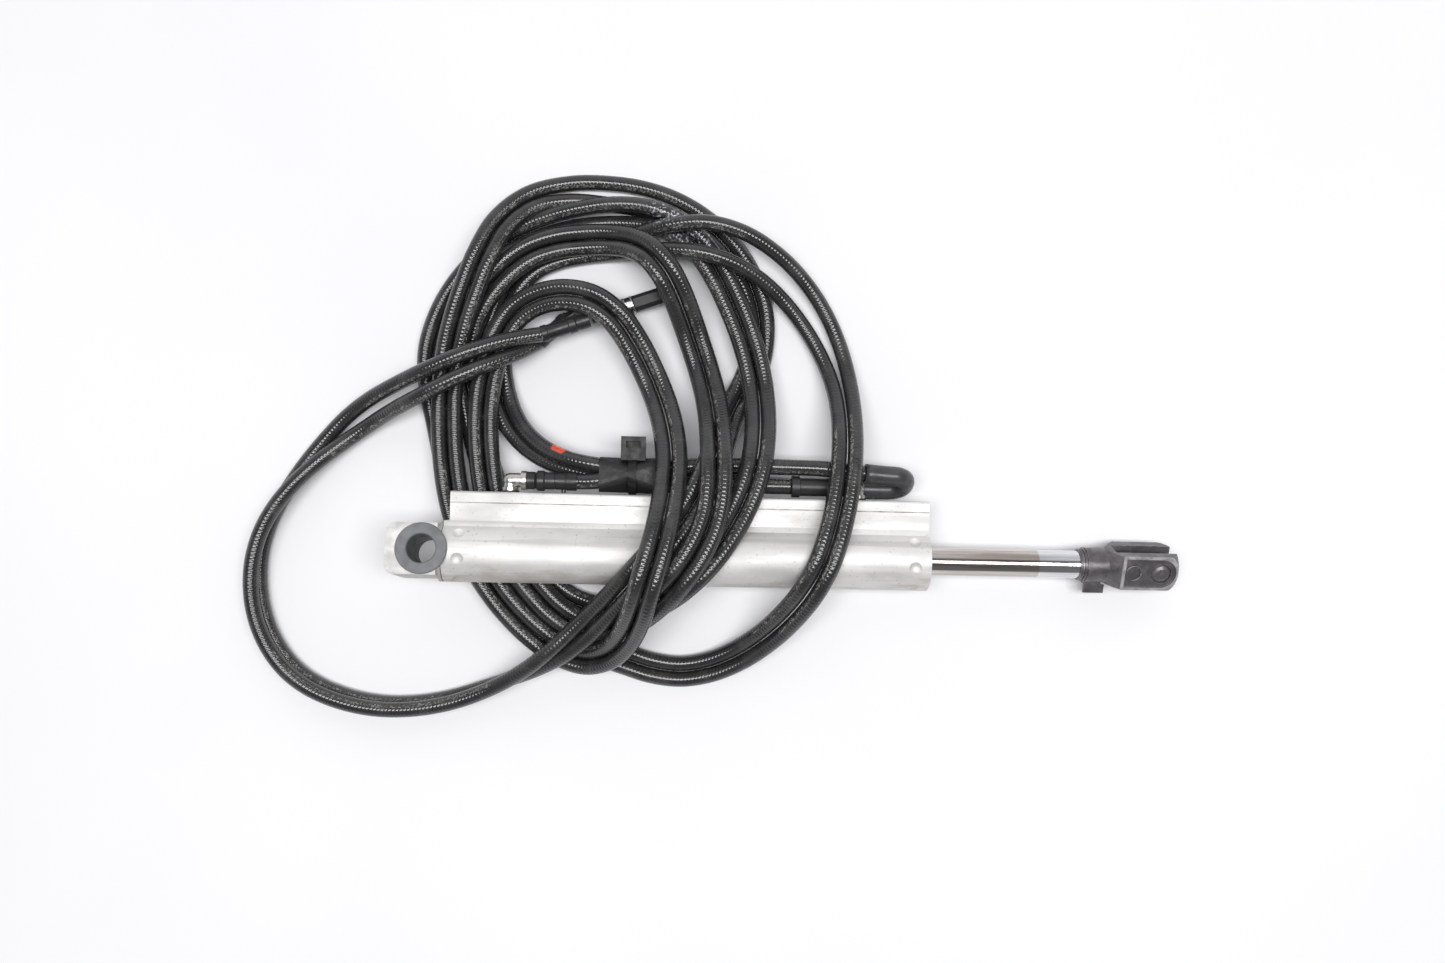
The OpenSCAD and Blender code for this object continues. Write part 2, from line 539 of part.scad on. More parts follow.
module return_bend() color("#34343a")
    sweep([for (p = bend_route) from_table(p)], bend_d / 2, 12, lean(bend_side));

// Strand centres at the sleeve's left end, middle and right end
sleeve_left = [[49.8, 20.5, 16.8], [49.8, 22.7, 12.2], [49.8, 25.1, 16]];
sleeve_middle = [[58, 23, 17], [58, 20.4, 12.9], [58, 25, 13.1]];
sleeve_right = [[66.6, 25.1, 15.3], [66.6, 20.2, 15.4], [66.6, 22.7, 11.3]];

module strand_ends(centres, r) for (p = centres) translate(from_table(p)) rotate([0, 90, 0])
    cylinder(h = 0.05, r = r, $fn = 32);
module wrap(from, to, r) hull() {
    strand_ends(from, r);
    strand_ends(to, r);
}
module hose_sleeve() color("#1d1d20") difference() {
    union() {
        wrap(sleeve_left, sleeve_middle, hose_r + 0.45);
        wrap(sleeve_middle, sleeve_right, hose_r + 0.45);
    }
    for (s = [-1, 1]) translate([0.1 * s, 0, 0]) {
        wrap(sleeve_left, sleeve_middle, hose_r + 0.15);
        wrap(sleeve_middle, sleeve_right, hose_r + 0.15);
    }
}

// Cable tie: a band round the sleeve and a head that stands off its far side
module cable_tie() color("#242427") difference() {
    union() {
        intersection() {
            wrap(sleeve_middle, sleeve_right, hose_r + 1.45);
            translate([53.9, 0, -40]) cube([4.6, 60, 80]);
        }
        translate([54, 27, -3.6]) cube([7, 6.8, 5.4]);
    }
    wrap(sleeve_middle, sleeve_right, hose_r + 0.48);
    translate([55.4, 30.6, -0.4]) cube([4.2, 1.8, 5]);
    // Clear of the rail
    translate([50, 0, -4]) cube([20, rail_reach + 0.05, 8]);
}

module hose_a_bridge() hose(hose_a_bridge_route);
module hose_a_near() hose(part_of(hose_a_route, 0, first_cut));
module hose_a_middle() hose(part_of(hose_a_route, first_cut, second_cut));
module hose_a_far() hose(part_of(hose_a_route, second_cut, len(hose_a_route) - 1));
module hose_b_near() hose(part_of(hose_b_route, 0, first_cut));
module hose_b_middle() hose(part_of(hose_b_route, first_cut, second_cut));
module hose_b_far() hose(part_of(hose_b_route, second_cut, len(hose_b_route) - 1));

// A fitting's own frame: its axis runs from one table point to another
module along(from, to) {
    a = from_table(from);
    d = from_table(to) - a;
    translate(a) rotate([0, -asin(d[2] / norm(d)), atan2(d[1], d[0])]) children();
}
far_a_start = hose_a_end_route[len(hose_a_end_route) - 1];
far_a_joint = [38.2, 68.8, 2.9];
far_a_tip = [47.9, 76.6, 2.9];
far_b_start = hose_b_end_route[len(hose_b_end_route) - 1];
far_b_joint = [45, 68, 8];
far_b_tip = [66.2, 76, 4.6];

far_outline = [
    [0, 2.45], [1.6, 2.45], [1.8, 2.25], [7.8, 2.25], [8.2, 2.55], [10, 2.55], [10.4, 2.2], [11, 2.2]
];
module far_ferrule_a() color("#3a393d") along(far_a_start, far_a_joint)
    turned(concat([[0, 0]], far_outline, [[11, 0]]));
module far_ferrule_b() color("#3a393d") along(far_b_start, far_b_joint)
    turned(concat([[0, 0]], far_outline, [[11, 2.4], [14.2, 2.4], [14.2, 0]]));

// Quick connector: a stub, a body with flats, two grooves for its wire clip and a nose
clip_spread = 1.1;
connector_bore = 2.6;
module connector(stub, clip, end) color("#46454a") difference() {
    union() {
        bar(0, stub + 1, 3.6);
        intersection() {
            bar(stub, end - 1, 5.4);
            translate([stub - 1, -2.4, -2.4]) cube([end, 4.8, 4.8]);
        }
        bar(end - 1, end, 4.2);
    }
    for (s = [-1, 1]) groove(clip + s * clip_spread, 0.9, 2.15, 4);
    bar(end - 6, end + 1, connector_bore);
}
module connector_clip(clip) color("#cfd2d6") {
    difference() {
        for (s = [-1, 1]) seal_ring(clip + s * clip_spread, 2.55, 0.7);
        translate([clip - 3, -1, -5]) cube([6, 2, 5]);
    }
    translate([clip, 0, 2.7]) cube([2 * clip_spread, 1.6, 0.5], center = true);
}
module connector_o_ring(end) color("#1c1c1e") seal_ring(end - 3, connector_bore / 2 - 0.35, 0.6);

a_stub = 2.2;
a_clip = 5.6;
a_end = 12.4;
b_stub = 5;
b_clip = 11.2;
b_end = 22;
module at_connector_a() along(far_a_joint, far_a_tip) children();
module at_connector_b() along(far_b_joint, far_b_tip) translate([0.75, 0, 0]) children();
module connector_a() at_connector_a() connector(a_stub, a_clip, a_end);
module connector_b() at_connector_b() connector(b_stub, b_clip, b_end);
module connector_clip_a() at_connector_a() connector_clip(a_clip);
module connector_clip_b() at_connector_b() connector_clip(b_clip);
module connector_o_ring_a() at_connector_a() connector_o_ring(a_end);
module connector_o_ring_b() at_connector_b() connector_o_ring(b_end);

end_cap();
eye_bush_upper();
eye_bush_lower();
cap_o_ring();
barrel();
duct_plug();
rod_gland();
gland_o_ring();
rod_seal();
rod_wiper();
gland_ring();
piston();
piston_seal();
piston_guide_ring();
piston_nut();
piston_rod();
rod_lock_ring();
clevis();
clevis_pin();
pin_clip();
port_elbow_a();
port_elbow_b();
port_seal_a();
port_seal_b();
hose_ferrule_a();
hose_ferrule_b();
ferrule_peg();
return_bend();
hose_sleeve();
cable_tie();
hose_a_bridge();
hose_a_near();
hose_a_middle();
hose_a_far();
hose_b_near();
hose_b_middle();
hose_b_far();
far_ferrule_a();
far_ferrule_b();
connector_a();
connector_b();
connector_clip_a();
connector_clip_b();
connector_o_ring_a();
connector_o_ring_b();
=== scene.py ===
import json
import math

import bmesh
import bpy
from mathutils import Matrix, Vector


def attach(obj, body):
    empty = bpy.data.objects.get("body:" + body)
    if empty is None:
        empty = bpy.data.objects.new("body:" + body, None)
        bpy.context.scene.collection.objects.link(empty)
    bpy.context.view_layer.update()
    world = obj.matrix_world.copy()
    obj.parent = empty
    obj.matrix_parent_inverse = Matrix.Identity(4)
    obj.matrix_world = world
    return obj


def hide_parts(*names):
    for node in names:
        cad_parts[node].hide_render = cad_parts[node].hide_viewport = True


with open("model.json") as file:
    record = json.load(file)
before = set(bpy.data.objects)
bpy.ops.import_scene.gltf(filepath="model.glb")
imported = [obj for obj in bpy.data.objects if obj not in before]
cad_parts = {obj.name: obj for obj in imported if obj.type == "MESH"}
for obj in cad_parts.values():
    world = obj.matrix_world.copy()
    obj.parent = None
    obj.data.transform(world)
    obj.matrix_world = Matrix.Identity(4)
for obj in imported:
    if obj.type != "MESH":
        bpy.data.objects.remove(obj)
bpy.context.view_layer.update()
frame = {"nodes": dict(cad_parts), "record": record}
NODES = frame["nodes"]

# ---------------------------------------------------------------- the resting place on the table
REST_PITCH = math.radians(2.7)
REST_HEIGHT = 0.0184
REST_SHIFT = 0.0018


def from_table(point):
    """A point given on the table, in the part's own frame."""
    x = point[0] - REST_SHIFT
    z = point[2] - REST_HEIGHT
    c = math.cos(REST_PITCH)
    s = math.sin(REST_PITCH)
    return Vector((x * c - z * s, point[1], x * s + z * c))


def lean(direction):
    """A direction on the table, in the part's own frame."""
    return from_table(direction) - from_table((0, 0, 0))


UP = lean((0, 0, 1))

# ---------------------------------------------------------------- camera
CAMERA_AT = (0.0848, 0.0216, 0.3574)
CAMERA_TURN = math.radians(1.36)
LENS = 29.9
SENSOR = 36
CLIP_START = 0.01

camera_data = bpy.data.cameras.new("camera")
camera_data.lens = LENS
camera_data.sensor_width = SENSOR
camera_data.clip_start = CLIP_START
camera = bpy.data.objects.new("camera", camera_data)
bpy.context.collection.objects.link(camera)
image_up = lean((-math.sin(CAMERA_TURN), math.cos(CAMERA_TURN), 0))
axes = Matrix((image_up.cross(UP), image_up, UP)).transposed()
camera.matrix_world = Matrix.Translation(from_table(CAMERA_AT)) @ axes.to_4x4()
bpy.context.scene.camera = camera

# ---------------------------------------------------------------- hose routes on the table
# Each point is along, across and height in metres. Where the pair needs them, two more follow: half
# the distance between the two hoses in metres, and the turn of the pair about its path in degrees.
PAIR_GAP = 0.00235
# Leaving the sleeve, one hose above the other
LEAD_IN = [
    (0.049, 0.02385, 0.01415, 0.00235, -58), (0.041, 0.0254, 0.0123, 0.00235, -48),
    (0.0335, 0.028, 0.0093, 0.00235, -40), (0.027, 0.0324, 0.0064, 0.00235, -32),
    (0.0222, 0.038, 0.004, 0.00235, -18), (0.019, 0.045, 0.0026),
]
# First loop, the widest on the right
LOOP_1 = [
    (0.0173, 0.053, 0.0023), (0.017, 0.061, 0.0023), (0.0183, 0.07, 0.0023), (0.0213, 0.078, 0.0023),
    (0.0268, 0.084, 0.0023), (0.034, 0.0874, 0.0023), (0.042, 0.0893, 0.0023), (0.05, 0.0903, 0.0024),
    (0.059, 0.0908, 0.0056, 0.0025), (0.068, 0.0918, 0.0115, 0.0036), (0.078, 0.0918, 0.0117, 0.0046),
    (0.088, 0.0892, 0.0112, 0.0046), (0.097, 0.0843, 0.0075, 0.0044), (0.1048, 0.0777, 0.0038, 0.0042),
    (0.1112, 0.0695, 0.0025, 0.0038), (0.116, 0.06, 0.0027, 0.0031), (0.1188, 0.051, 0.0055, 0.0025),
    (0.12, 0.043, 0.0098), (0.1202, 0.035, 0.0145), (0.1198, 0.0275, 0.018), (0.119, 0.02, 0.0198),
    (0.1176, 0.0125, 0.0214), (0.1156, 0.0055, 0.0232), (0.1132, -0.0015, 0.0242),
    (0.1098, -0.0088, 0.022), (0.104, -0.017, 0.0148), (0.0978, -0.0238, 0.009),
    (0.0905, -0.0293, 0.0048), (0.0825, -0.0332, 0.0028), (0.074, -0.0349, 0.0023),
    (0.0655, -0.0342, 0.0023), (0.0575, -0.0316, 0.0023), (0.05, -0.029, 0.0023),
    (0.0425, -0.0276, 0.0023), (0.0348, -0.0249, 0.0023), (0.0272, -0.02, 0.0023),
    (0.0208, -0.0137, 0.0023), (0.0154, -0.0066, 0.0023), (0.0108, 0.0012, 0.0023),
    (0.0072, 0.0095, 0.0023), (0.005, 0.018, 0.0023),
]
# Second loop
LOOP_2 = [
    (0.0036, 0.027, 0.0023), (0.0014, 0.038, 0.0023), (-0.0012, 0.048, 0.0023), (-0.002, 0.058, 0.0023),
    (0.0014, 0.069, 0.0023), (0.007, 0.0784, 0.0023), (0.0134, 0.086, 0.0023), (0.0216, 0.0917, 0.0023),
    (0.031, 0.0957, 0.0034, 0.00245, 25), (0.04, 0.0979, 0.0042, 0.0026, 42),
    (0.05, 0.0994, 0.0046, 0.0032, 42), (0.06, 0.0992, 0.0046, 0.0033, 42), (0.069, 0.0958, 0.0069),
    (0.0765, 0.0903, 0.0069), (0.082, 0.082, 0.0069), (0.0865, 0.0735, 0.0069), (0.09, 0.0655, 0.0069),
    (0.0927, 0.0575, 0.007), (0.0944, 0.0495, 0.0078), (0.0952, 0.042, 0.0103), (0.0952, 0.035, 0.0148),
    (0.0944, 0.028, 0.0189), (0.0928, 0.021, 0.02), (0.09, 0.014, 0.0212), (0.0863, 0.0075, 0.0236),
    (0.0826, 0.0016, 0.0254), (0.0778, -0.0036, 0.0256), (0.0726, -0.0086, 0.024),
    (0.067, -0.0126, 0.0184), (0.061, -0.0156, 0.012), (0.0546, -0.0172, 0.0068),
    (0.048, -0.0172, 0.0034), (0.041, -0.0154, 0.0023), (0.0345, -0.011, 0.0023),
    (0.029, -0.005, 0.0023), (0.0244, 0.0023, 0.0023), (0.0206, 0.0098, 0.0023), (0.017, 0.018, 0.0023),
]
# Third loop
LOOP_3 = [
    (0.0136, 0.027, 0.0023), (0.012, 0.037, 0.0023), (0.0092, 0.046, 0.0023), (0.0076, 0.055, 0.0023),
    (0.0084, 0.065, 0.0052), (0.0135, 0.0735, 0.0069), (0.0195, 0.0816, 0.007), (0.0265, 0.087, 0.007),
    (0.034, 0.0896, 0.007), (0.042, 0.091, 0.007), (0.05, 0.0912, 0.0072), (0.0566, 0.09, 0.01),
    (0.0624, 0.0866, 0.014), (0.067, 0.0814, 0.0142), (0.0704, 0.0752, 0.0114), (0.0732, 0.0688, 0.008),
    (0.0756, 0.0622, 0.0054), (0.0782, 0.0552, 0.005), (0.0803, 0.048, 0.0086), (0.0817, 0.041, 0.0138),
    (0.0826, 0.0345, 0.0202), (0.0828, 0.028, 0.0248), (0.083, 0.021, 0.026), (0.0824, 0.014, 0.0276),
    (0.0806, 0.0075, 0.0292), (0.0776, 0.0015, 0.0304), (0.0739, -0.0045, 0.0302),
    (0.0688, -0.0105, 0.0272), (0.063, -0.0158, 0.0206), (0.0568, -0.02, 0.0136),
    (0.0498, -0.0218, 0.0088), (0.0428, -0.0208, 0.0071), (0.0366, -0.017, 0.0069),
    (0.0312, -0.0114, 0.0068), (0.0254, -0.0046, 0.0064), (0.0212, 0.0026, 0.0063),
    (0.0184, 0.01, 0.0065), (0.0166, 0.018, 0.0068),
]
# Fourth loop, the innermost
LOOP_4 = [
    (0.0152, 0.027, 0.0069), (0.0142, 0.037, 0.0069), (0.015, 0.046, 0.0069), (0.0164, 0.055, 0.0069),
    (0.019, 0.063, 0.007), (0.0232, 0.0686, 0.0076), (0.029, 0.0728, 0.009), (0.038, 0.0743, 0.0116),
    (0.0465, 0.0728, 0.0128), (0.0533, 0.0678, 0.0122), (0.0582, 0.0608, 0.0098),
    (0.0623, 0.0533, 0.0078), (0.0658, 0.046, 0.0092), (0.0682, 0.039, 0.0124),
    (0.0696, 0.0325, 0.0168), (0.0704, 0.0265, 0.02), (0.0702, 0.0205, 0.024), (0.0694, 0.014, 0.028),
    (0.0684, 0.0075, 0.031), (0.0668, 0.001, 0.0324), (0.065, -0.0055, 0.0334), (0.063, -0.012, 0.0316),
    (0.0609, -0.0183, 0.0258), (0.0576, -0.0242, 0.0184), (0.0524, -0.0294, 0.0122),
    (0.0458, -0.031, 0.008), (0.0386, -0.0292, 0.0069), (0.03, -0.0232, 0.0069),
    (0.0232, -0.0166, 0.0069), (0.0174, -0.0094, 0.0069), (0.0126, -0.0015, 0.0068),
    (0.0088, 0.007, 0.0066), (0.0062, 0.016, 0.0067),
]
# Last part turn, over the others
LOOP_5 = [
    (0.0046, 0.026, 0.0068), (0.0038, 0.037, 0.0069), (0.004, 0.047, 0.007), (0.0046, 0.0565, 0.0078),
    (0.0072, 0.066, 0.0098), (0.0106, 0.0755, 0.0119), (0.0144, 0.085, 0.0112),
    (0.0186, 0.0952, 0.0088), (0.0264, 0.1036, 0.0044), (0.0385, 0.1058, 0.0025, 0.0024),
    (0.0495, 0.1055, 0.0023, 0.0033), (0.06, 0.1044, 0.0023, 0.0031), (0.0696, 0.1015, 0.0023, 0.0027),
    (0.0786, 0.0963, 0.0023, 0.0024), (0.0862, 0.0888, 0.0023), (0.0916, 0.0796, 0.0023),
    (0.0946, 0.0696, 0.0023), (0.0944, 0.0598, 0.0023), (0.0916, 0.051, 0.0025),
    (0.0886, 0.045, 0.0042), (0.0863, 0.0395, 0.008), (0.0843, 0.0335, 0.0136),
    (0.0824, 0.0275, 0.0192), (0.0798, 0.021, 0.021), (0.0766, 0.0145, 0.0227), (0.073, 0.009, 0.0244),
    (0.0688, 0.0034, 0.0263), (0.064, -0.0022, 0.0268), (0.0592, -0.0078, 0.0249),
    (0.0542, -0.0134, 0.0212), (0.0492, -0.0186, 0.018), (0.0444, -0.0234, 0.0159, 0.00235, -12),
    (0.0389, -0.0282, 0.0146, 0.00235, -35), (0.0318, -0.0332, 0.0116, 0.00235, -65),
    (0.0242, -0.0374, 0.0074, 0.00235, -88),
]
# The wide loop at the eye end
BIG_LOOP = [
    (0.0156, -0.0412, 0.0052, 0.00235, -98), (0.009, -0.0438, 0.0047, 0.00235, -101),
    (0.0019, -0.0455, 0.0046, 0.00235, -102), (-0.0055, -0.0466, 0.0046, 0.00235, -102),
    (-0.0128, -0.0468, 0.0046, 0.00235, -102), (-0.0204, -0.046, 0.0046, 0.00235, -102),
    (-0.0276, -0.044, 0.0046, 0.00235, -102), (-0.0344, -0.0412, 0.0046, 0.00235, -102),
    (-0.0402, -0.0372, 0.0046, 0.00235, -102), (-0.045, -0.0318, 0.0046, 0.00235, -102),
    (-0.0487, -0.0252, 0.0046, 0.00235, -102), (-0.051, -0.018, 0.0046, 0.00235, -102),
    (-0.0518, -0.0104, 0.0046, 0.00235, -100), (-0.0513, -0.0028, 0.0046, 0.00235, -95),
    (-0.0494, 0.0044, 0.0046, 0.00235, -90), (-0.0458, 0.0118, 0.0046, 0.00235, -82),
    (-0.041, 0.0186, 0.0045, 0.00235, -68), (-0.0358, 0.0252, 0.004, 0.00235, -45),
    (-0.0297, 0.0312, 0.0034, 0.0025, -22), (-0.0238, 0.0362, 0.0036, 0.0029),
    (-0.018, 0.0405, 0.0055, 0.0033),
]
# Hose A from its ferrule through the sleeve to the return bend
HOSE_A_BRIDGE_ROUTE = [
    (0.043, 0.0206, 0.0164), (0.049, 0.0204, 0.0168), (0.058, 0.0229, 0.0172), (0.067, 0.0252, 0.0153),
    (0.08, 0.0259, 0.0148), (0.095, 0.026, 0.0142), (0.107, 0.0261, 0.0144), (0.113, 0.0259, 0.0146),
    (0.119, 0.0255, 0.0144), (0.1255, 0.0248, 0.0136),
]
# Hose A from the return bend back under hose B into the sleeve
HOSE_A_RETURN_ROUTE = [
    (0.124, 0.0203, 0.0042), (0.115, 0.0204, 0.0056), (0.104, 0.0208, 0.0072), (0.092, 0.0215, 0.0087),
    (0.079, 0.0223, 0.0102), (0.067, 0.0227, 0.0112), (0.058, 0.025, 0.0131),
]
# Hose B from its ferrule into the sleeve
HOSE_B_START_ROUTE = [
    (0.1047, 0.0206, 0.0135), (0.096, 0.0206, 0.014), (0.086, 0.0205, 0.0144), (0.076, 0.0204, 0.0149),
    (0.067, 0.0202, 0.0154), (0.058, 0.0204, 0.0129),
]
# Hose A down to its far ferrule
HOSE_A_END_ROUTE = [
    (-0.01, 0.0408, 0.01), (-0.001, 0.0448, 0.0144), (0.007, 0.0488, 0.0154), (0.0142, 0.0526, 0.0144),
    (0.0206, 0.0554, 0.0116), (0.0258, 0.0582, 0.008), (0.0302, 0.0614, 0.0052),
]
# Hose B down to its far ferrule
HOSE_B_END_ROUTE = [
    (-0.009, 0.048, 0.0102), (0.001, 0.0526, 0.0144), (0.0105, 0.0565, 0.015), (0.0186, 0.0599, 0.0132),
    (0.0255, 0.0616, 0.011), (0.0315, 0.063, 0.0096),
]
HOSE_R = 0.00225
# Corners of a hose's round section
SIDES = 20
# Rings of the mesh per stretch between two route points
STEPS = 9
# Each round of easing pulls every point towards its neighbours and then a little further back out
EASE_PULLS = (0.5, -0.52)
EASE_ROUNDS = 2


def one_hose(pair, side):
    """One hose of the pair: side 1 is on the left of travel, -1 on the right."""
    line = []
    for i, point in enumerate(pair):
        before = pair[max(i - 1, 0)]
        after = pair[min(i + 1, len(pair) - 1)]
        way = Vector((after[0] - before[0], after[1] - before[1])).normalized()
        gap = point[3] if len(point) > 3 else PAIR_GAP
        turn = math.radians(point[4]) if len(point) > 4 else 0
        across = side * gap * math.cos(turn)
        rise = side * gap * math.sin(turn)
        line.append((point[0] - across * way.y, point[1] + across * way.x, point[2] + rise))
    return line


def relaxed(points):
    """The same path with its small kinks eased out."""
    line = list(points)
    for pull in EASE_PULLS * EASE_ROUNDS:
        inner = [(a + c) / 2 for a, c in zip(line, line[2:])]
        moved = [b.lerp(m, pull) for b, m in zip(line[1:], inner)]
        line = [line[0]] + moved + [line[-1]]
    return line


def smooth(points, steps):
    """A smooth curve through the points (centripetal Catmull-Rom)."""
    ends = [2 * points[0] - points[1]] + points + [2 * points[-1] - points[-2]]
    line = []
    for p0, p1, p2, p3 in zip(ends, ends[1:], ends[2:], ends[3:]):
        t1 = (p1 - p0).length ** 0.5
        t2 = t1 + (p2 - p1).length ** 0.5
        t3 = t2 + (p3 - p2).length ** 0.5
        for k in range(steps):
            t = t1 + (t2 - t1) * k / steps
            a1 = p0.lerp(p1, t / t1)
            a2 = p1.lerp(p2, (t - t1) / (t2 - t1))
            a3 = p2.lerp(p3, (t - t2) / (t3 - t2))
            b1 = a1.lerp(a2, t / t2)
            b2 = a2.lerp(a3, (t - t1) / (t3 - t1))
            line.append(b1.lerp(b2, (t - t1) / (t2 - t1)))
    line.append(points[-1].copy())
    return line


def new_object(name, mesh, body):
    """A visible piece that rides on a body."""
    piece = bpy.data.objects.new(name, mesh)
    bpy.context.collection.objects.link(piece)
    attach(piece, body)
    return piece


def tube(name, line, radius, body, sides=SIDES, up=UP):
    """A closed tube along a line. Its UVs hold metres along it, and 0 to 1 round it with the top at 0.5."""
    bm = bmesh.new()
    uv = bm.loops.layers.uv.new("UVMap")
    rings = []
    distances = []
    along = 0
    for i, centre in enumerate(line):
        before = line[max(i - 1, 0)]
        after = line[min(i + 1, len(line) - 1)]
        way = (after - before).normalized()
        side = way.cross(up).normalized()
        top = side.cross(way)
        if i:
            along += (centre - line[i - 1]).length
        ring = []
        for k in range(sides):
            a = 2 * math.pi * k / sides
            ring.append(bm.verts.new(centre + radius * (math.sin(a) * side - math.cos(a) * top)))
        rings.append(ring)
        distances.append(along)
    for i in range(len(rings) - 1):
        for k in range(sides):
            j = (k + 1) % sides
            face = bm.faces.new((rings[i][k], rings[i][j], rings[i + 1][j], rings[i + 1][k]))
            face.smooth = True
            corners = ((i, k), (i, k + 1), (i + 1, k + 1), (i + 1, k))
            for loop, (row, column) in zip(face.loops, corners):
                loop[uv].uv = (distances[row], column / sides)
    bm.faces.new(list(reversed(rings[0])))
    bm.faces.new(rings[-1])
    bmesh.ops.recalc_face_normals(bm, faces=bm.faces)
    mesh = bpy.data.meshes.new(name)
    bm.to_mesh(mesh)
    bm.free()
    return new_object(name, mesh, body)


PAIR = LEAD_IN + LOOP_1 + LOOP_2 + LOOP_3 + LOOP_4 + LOOP_5 + BIG_LOOP
hose_routes = {
    "hose_a_bridge_tube": HOSE_A_BRIDGE_ROUTE,
    "hose_a_tube": HOSE_A_RETURN_ROUTE + one_hose(PAIR, -1) + HOSE_A_END_ROUTE,
    "hose_b_tube": HOSE_B_START_ROUTE + one_hose(PAIR, 1) + HOSE_B_END_ROUTE,
}
hose_lines = {}
hoses = {}
for name, route in hose_routes.items():
    hose_lines[name] = smooth(relaxed([from_table(p) for p in route]), STEPS)
    hoses[name] = tube(name, hose_lines[name], HOSE_R, "barrel")
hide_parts("hose_a_bridge")
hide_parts("hose_a_near", "hose_a_middle", "hose_a_far")
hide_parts("hose_b_near", "hose_b_middle", "hose_b_far")

# ---------------------------------------------------------------- the return bend
# Two short legs joined by a half turn in a leaning plane
BEND_TOP = Vector((0.1322, 0.0243, 0.013))
BEND_LOW = Vector((0.1322, 0.0203, 0.004))
BEND_R = 0.00285
BEND_SIDES = 32
# How far the half turn reaches, as a share of its radius, and how square it is: 1 is a circle
BEND_REACH = 1.1
BEND_SQUARE = 0.8
BEND_STEP = 18
BEND_RINGS = 4


def squarer(value):
    """A sine or cosine pushed outwards, so that the turn is squarer than a circle."""
    return math.copysign(abs(value) ** BEND_SQUARE, value)


bend_middle = (BEND_TOP + BEND_LOW) / 2
bend_out = (BEND_TOP - BEND_LOW) / 2
bend_line = [Vector(HOSE_A_BRIDGE_ROUTE[-1])]
for a in range(0, 181, BEND_STEP):
    turn = math.radians(a)
    forward = Vector((BEND_REACH * bend_out.length * squarer(math.sin(turn)), 0, 0))
    bend_line.append(bend_middle + forward + bend_out * squarer(math.cos(turn)))
bend_line.append(Vector(HOSE_A_RETURN_ROUTE[0]))
bend_line = [from_table(p) for p in bend_line]


